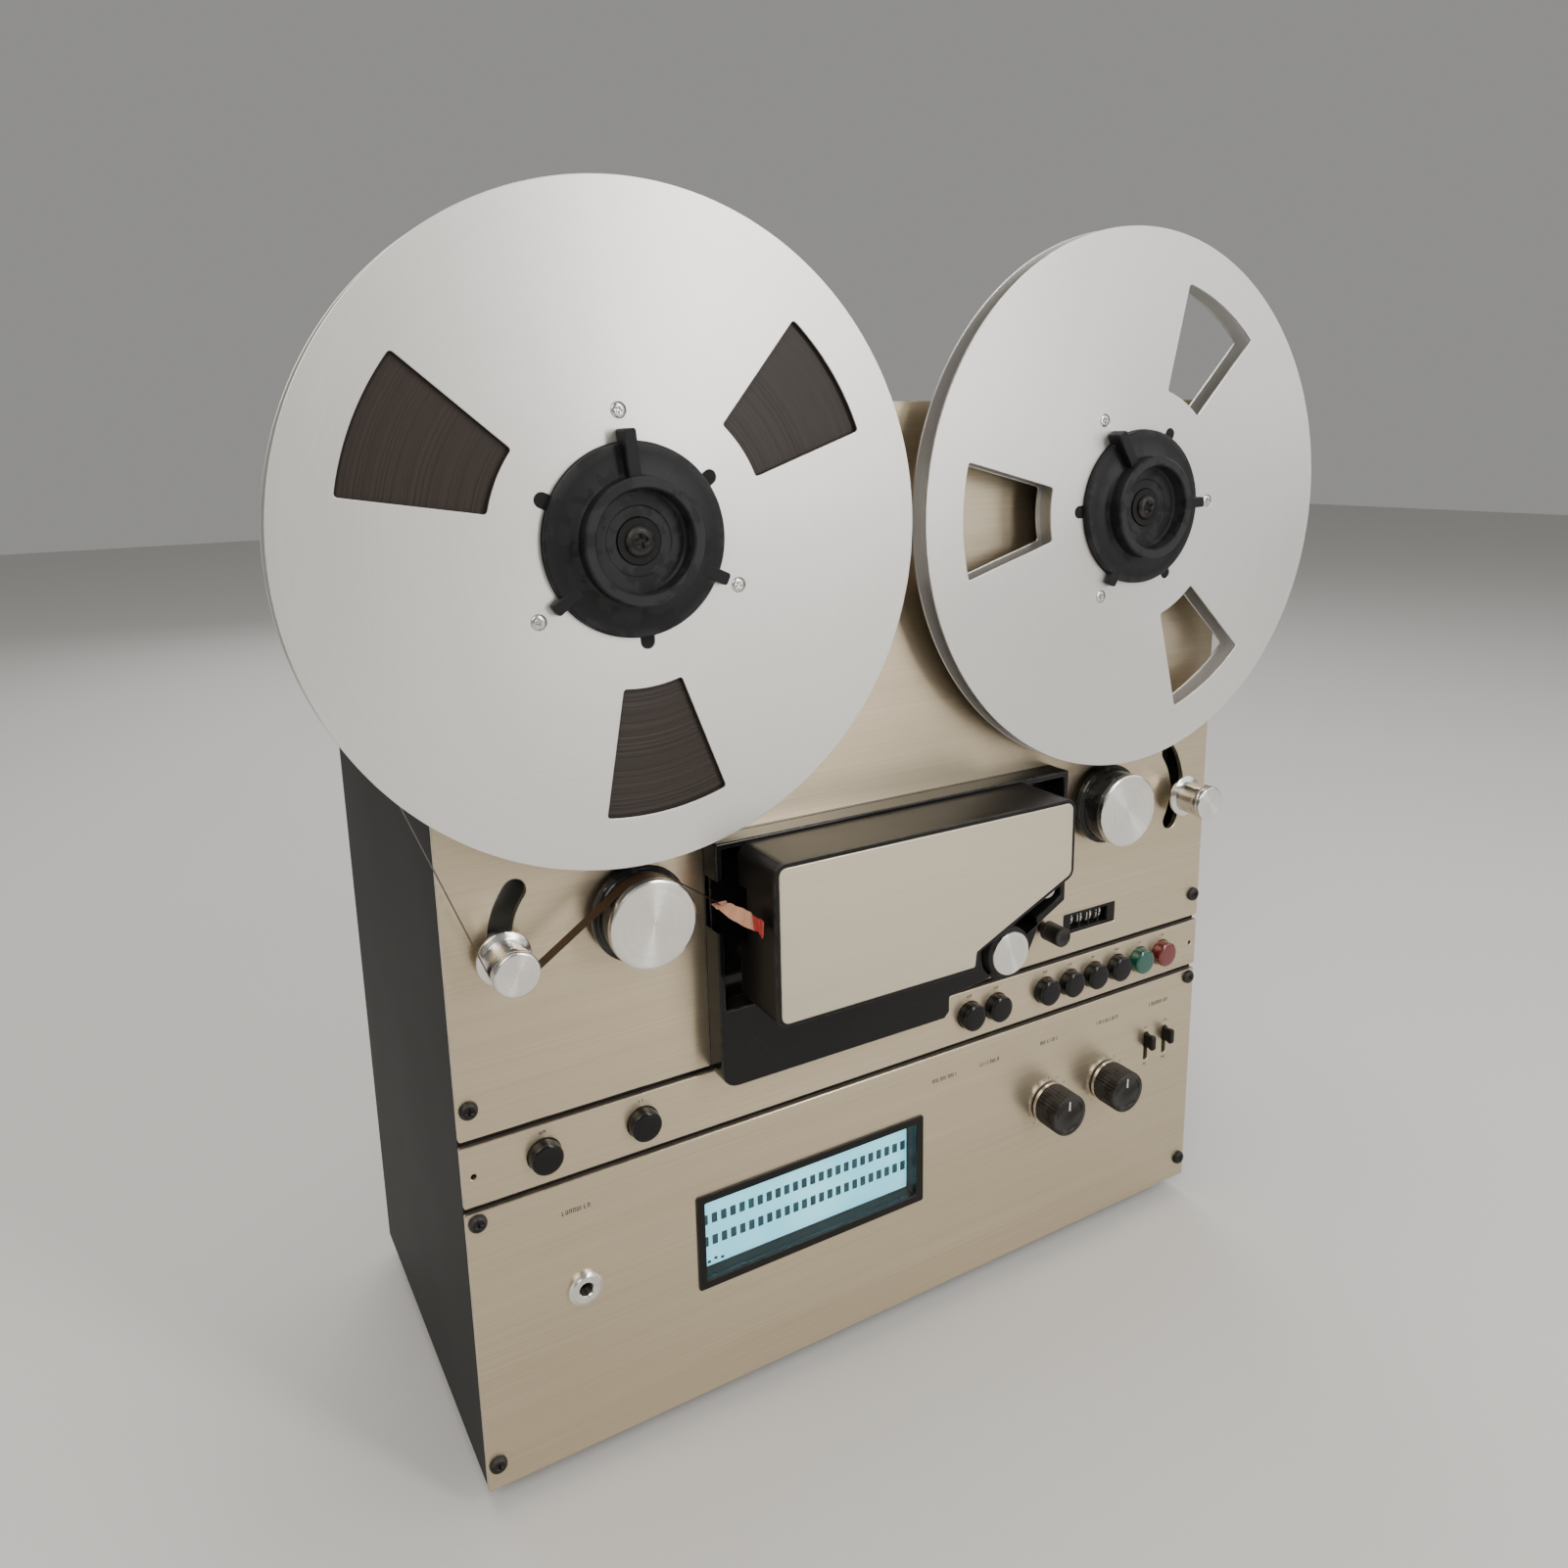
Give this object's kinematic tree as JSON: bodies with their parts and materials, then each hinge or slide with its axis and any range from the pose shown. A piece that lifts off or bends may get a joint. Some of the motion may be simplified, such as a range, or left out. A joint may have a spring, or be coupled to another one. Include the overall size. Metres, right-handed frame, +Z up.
{
  "type": "reel to reel tape deck",
  "caption": "Upright reel to reel tape deck with large metal reels, brushed front panels, guide rollers, sprung tension arms, covered heads and round push buttons.",
  "frame": {"origin": "ground point under the middle of the whole deck with its reels", "axes": "+X to the right seen from the front, +Y from the front panel to the back, +Z up"},
  "size_m": [0.5407, 0.256, 0.5633],
  "materials": {
    "cabinet_black": "satin black enamel",
    "frame_black": "matt black paint",
    "zinc_steel": "zinc plated",
    "panel_champagne": "fine horizontal brushing, champagne anodised",
    "screw_black": "black oxide",
    "foot_rubber": "matt",
    "flange_aluminium": "satin, circular brushing",
    "hub_black": "fine matt",
    "screw_steel": "bright",
    "tape_brown": "oxide, edge-on winding lines",
    "turned_aluminium": "lathe turned",
    "housing_gloss": "gloss black",
    "head_metal": "polished",
    "cover_plate": "satin anodised",
    "steel_polished": "ground",
    "tyre_rubber": "matt",
    "leader_cloth": "faded pink leader with a red end",
    "button_black": "gloss",
    "button_green": "gloss",
    "button_red": "gloss",
    "counter_black": "matt",
    "knob_black": "satin",
    "meter_black": "gloss with a lit blue-green scale",
    "board_green": "laminate",
    "transformer_steel": "varnished laminations",
    "motor_grey": "satin"
  },
  "bodies": {
    "root": {"cabinet_wrap": "cabinet_black", "front_frame": "frame_black", "chassis_plate": "frame_black", "rear_cover": "cabinet_black", "transport_panel": "panel_champagne", "control_strip": "panel_champagne", "lower_panel": "panel_champagne", "panel_screws": "screw_black", "cabinet_feet": "foot_rubber", "rear_jack_panel": "frame_black", "power_transformer": "transformer_steel", "reel_motors": "motor_grey", "capstan_motor": "motor_grey", "head_housing": "housing_gloss", "tape_heads": "head_metal", "roller_posts": "steel_polished", "counter_frame": "counter_black", "meter_unit": "meter_black", "headphone_jack": "steel_polished", "circuit_boards": "board_green", "tape_run": "tape_brown", "tape_leader": "leader_cloth"},
    "head_cover": {"head_cover_shell": "housing_gloss", "head_cover_plate": "cover_plate"},
    "capstan": {"capstan_flywheel": "steel_polished"},
    "pinch_lever": {"pinch_arm": "zinc_steel"},
    "pinch_wheel": {"pinch_roller": "tyre_rubber"},
    "supply_reel": {"supply_reel_flanges": "flange_aluminium", "supply_reel_hub": "hub_black", "supply_reel_screws": "screw_steel", "supply_turntable": "hub_black", "supply_tape_pack": "tape_brown"},
    "supply_lock": {"supply_hub_lock": "hub_black"},
    "supply_arm": {"supply_tension_arm": "zinc_steel"},
    "supply_arm_roller": {"supply_tension_roller": "turned_aluminium"},
    "supply_guide": {"supply_guide_roller": "turned_aluminium"},
    "takeup_reel": {"takeup_reel_flanges": "flange_aluminium", "takeup_reel_hub": "hub_black", "takeup_reel_screws": "screw_steel", "takeup_turntable": "hub_black"},
    "takeup_lock": {"takeup_hub_lock": "hub_black"},
    "takeup_arm": {"takeup_tension_arm": "zinc_steel"},
    "takeup_arm_roller": {"takeup_tension_roller": "turned_aluminium"},
    "takeup_guide": {"takeup_guide_roller": "turned_aluminium"},
    "power_button_body": {"power_button": "button_black"},
    "timer_button_body": {"timer_button": "button_black"},
    "speed_button_body": {"speed_button": "button_black"},
    "bias_button_body": {"bias_button": "button_black"},
    "rewind_button_body": {"rewind_button": "button_black"},
    "stop_button_body": {"stop_button": "button_black"},
    "pause_button_body": {"pause_button": "button_black"},
    "forward_button_body": {"forward_button": "button_black"},
    "play_button_body": {"play_button": "button_green"},
    "record_button_body": {"record_button": "button_red"},
    "counter_wheels_body": {"counter_wheels": "counter_black"},
    "counter_reset_body": {"counter_reset": "knob_black"},
    "input_level_knob_body": {"input_level_knob": "knob_black"},
    "output_level_knob_body": {"output_level_knob": "knob_black"},
    "input_lever_body": {"input_lever": "button_black"},
    "output_lever_body": {"output_lever": "button_black"}
  },
  "joints": [
    {"name": "supply_reel_spin", "type": "hinge", "parent": "root", "child": "supply_reel", "pos_m": [-0.137, -0.09, 0.43], "axis": [0, -1, 0], "continuous": true},
    {"name": "supply_lock_turn", "type": "hinge", "parent": "supply_reel", "child": "supply_lock", "pos_m": [-0.137, -0.102, 0.43], "axis": [0, -1, 0], "range_deg": [0, 60]},
    {"name": "supply_tension_swing", "type": "hinge", "parent": "root", "child": "supply_arm", "pos_m": [-0.16, -0.07, 0.267], "axis": [0, -1, 0], "range_deg": [-42, 25], "stiffness_Nm_per_rad": 1, "deforming": ["tape_run"]},
    {"name": "supply_tension_roller_spin", "type": "hinge", "parent": "supply_arm", "child": "supply_arm_roller", "pos_m": [-0.19691, -0.095, 0.26442], "axis": [0, -1, 0], "continuous": true},
    {"name": "supply_guide_spin", "type": "hinge", "parent": "root", "child": "supply_guide", "pos_m": [-0.137, -0.09, 0.2703], "axis": [0, -1, 0], "continuous": true},
    {"name": "takeup_reel_spin", "type": "hinge", "parent": "root", "child": "takeup_reel", "pos_m": [0.137, -0.09, 0.43], "axis": [0, -1, 0], "continuous": true},
    {"name": "takeup_lock_turn", "type": "hinge", "parent": "takeup_reel", "child": "takeup_lock", "pos_m": [0.137, -0.102, 0.43], "axis": [0, -1, 0], "range_deg": [0, 60]},
    {"name": "takeup_tension_swing", "type": "hinge", "parent": "root", "child": "takeup_arm", "pos_m": [0.16, -0.07, 0.267], "axis": [0, -1, 0], "range_deg": [-25, 42], "stiffness_Nm_per_rad": 1},
    {"name": "takeup_tension_roller_spin", "type": "hinge", "parent": "takeup_arm", "child": "takeup_arm_roller", "pos_m": [0.19691, -0.095, 0.26442], "axis": [0, -1, 0], "continuous": true},
    {"name": "takeup_guide_spin", "type": "hinge", "parent": "root", "child": "takeup_guide", "pos_m": [0.137, -0.09, 0.2703], "axis": [0, -1, 0], "continuous": true},
    {"name": "capstan_spin", "type": "hinge", "parent": "root", "child": "capstan", "pos_m": [0.062, -0.09, 0.2365], "axis": [0, -1, 0], "continuous": true},
    {"name": "pinch_arm_swing", "type": "hinge", "parent": "root", "child": "pinch_lever", "pos_m": [0.028, -0.085, 0.232], "axis": [0, -1, 0], "range_deg": [0, 19], "stiffness_Nm_per_rad": 0.4},
    {"name": "pinch_roller_spin", "type": "hinge", "parent": "pinch_lever", "child": "pinch_wheel", "pos_m": [0.0595, -0.092, 0.2075], "axis": [0, -1, 0], "continuous": true},
    {"name": "head_cover_pull", "type": "slide", "parent": "root", "child": "head_cover", "axis": [0, -1, 0], "range_m": [0, 0.045]},
    {"name": "power_button_press", "type": "slide", "parent": "root", "child": "power_button_body", "axis": [0, 1, 0], "range_m": [0, 0.0025], "stiffness_N_per_m": 200},
    {"name": "timer_button_press", "type": "slide", "parent": "root", "child": "timer_button_body", "axis": [0, 1, 0], "range_m": [0, 0.0025], "stiffness_N_per_m": 200},
    {"name": "speed_button_press", "type": "slide", "parent": "root", "child": "speed_button_body", "axis": [0, 1, 0], "range_m": [0, 0.0025], "stiffness_N_per_m": 200},
    {"name": "bias_button_press", "type": "slide", "parent": "root", "child": "bias_button_body", "axis": [0, 1, 0], "range_m": [0, 0.0025], "stiffness_N_per_m": 200},
    {"name": "rewind_button_press", "type": "slide", "parent": "root", "child": "rewind_button_body", "axis": [0, 1, 0], "range_m": [0, 0.0025], "stiffness_N_per_m": 200},
    {"name": "stop_button_press", "type": "slide", "parent": "root", "child": "stop_button_body", "axis": [0, 1, 0], "range_m": [0, 0.0025], "stiffness_N_per_m": 200},
    {"name": "pause_button_press", "type": "slide", "parent": "root", "child": "pause_button_body", "axis": [0, 1, 0], "range_m": [0, 0.0025], "stiffness_N_per_m": 200},
    {"name": "forward_button_press", "type": "slide", "parent": "root", "child": "forward_button_body", "axis": [0, 1, 0], "range_m": [0, 0.0025], "stiffness_N_per_m": 200},
    {"name": "play_button_press", "type": "slide", "parent": "root", "child": "play_button_body", "axis": [0, 1, 0], "range_m": [0, 0.0025], "stiffness_N_per_m": 200},
    {"name": "record_button_press", "type": "slide", "parent": "root", "child": "record_button_body", "axis": [0, 1, 0], "range_m": [0, 0.0025], "stiffness_N_per_m": 200},
    {"name": "counter_spin", "type": "hinge", "parent": "root", "child": "counter_wheels_body", "pos_m": [0.1325, -0.071, 0.203], "axis": [1, 0, 0], "continuous": true},
    {"name": "counter_reset_press", "type": "slide", "parent": "root", "child": "counter_reset_body", "axis": [0, 1, 0], "range_m": [0, 0.003], "stiffness_N_per_m": 200},
    {"name": "input_level_knob_turn", "type": "hinge", "parent": "root", "child": "input_level_knob_body", "pos_m": [0.1057, -0.09, 0.099], "axis": [0, -1, 0], "range_deg": [-150, 150]},
    {"name": "output_level_knob_turn", "type": "hinge", "parent": "root", "child": "output_level_knob_body", "pos_m": [0.1497, -0.09, 0.099], "axis": [0, -1, 0], "range_deg": [-150, 150]},
    {"name": "input_lever_slide", "type": "slide", "parent": "root", "child": "input_lever_body", "axis": [0, 0, -1], "range_m": [0, 0.008]},
    {"name": "output_lever_slide", "type": "slide", "parent": "root", "child": "output_lever_body", "axis": [0, 0, -1], "range_m": [0, 0.008]}
  ],
  "couplings": [
    {"joint": "counter_spin", "follows": "takeup_reel_spin", "ratio": 0.1}
  ]
}
